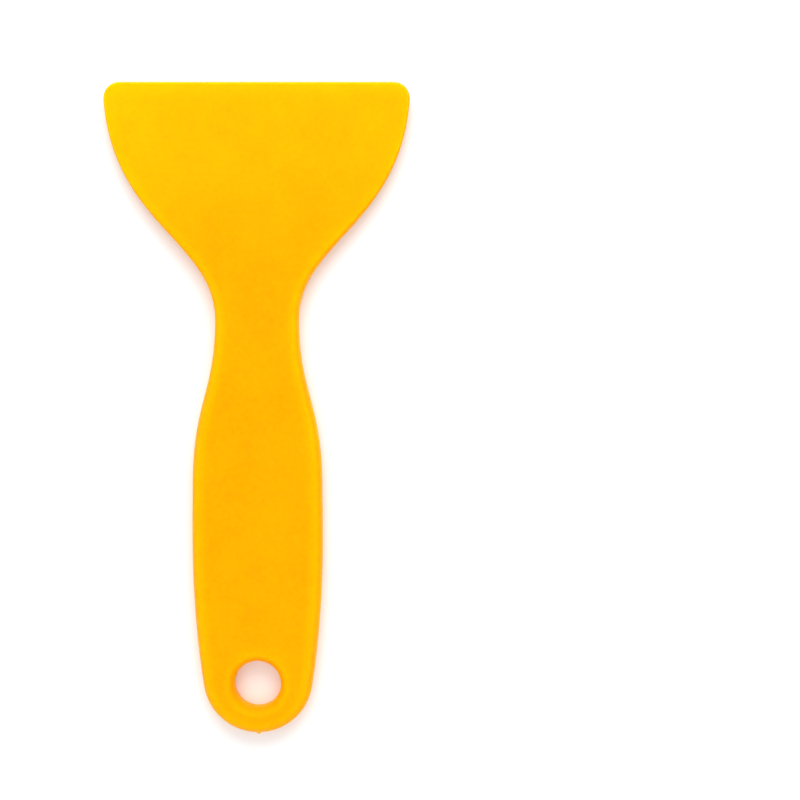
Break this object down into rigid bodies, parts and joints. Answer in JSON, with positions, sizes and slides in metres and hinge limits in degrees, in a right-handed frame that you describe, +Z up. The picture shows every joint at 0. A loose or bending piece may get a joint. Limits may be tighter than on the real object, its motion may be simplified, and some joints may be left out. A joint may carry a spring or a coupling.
{
  "type": "squeegee applicator",
  "caption": "One-piece moulded plastic squeegee with a fan-shaped tapered blade, a straight working edge, a narrow neck and a flat rounded grip with a hang hole.",
  "frame": {"origin": "middle of the outline, on the plane of the grip's flat underside", "axes": "+Y along the length from the grip to the working edge, +Z up through the thickness, +X to the right across the working edge"},
  "size_m": [0.0582, 0.1254, 0.004],
  "materials": {
    "amber_plastic": "semi-translucent yellow-orange polypropylene with a fine spark-eroded texture"
  },
  "bodies": {
    "root": {"squeegee_body": "amber_plastic"}
  },
  "joints": []
}
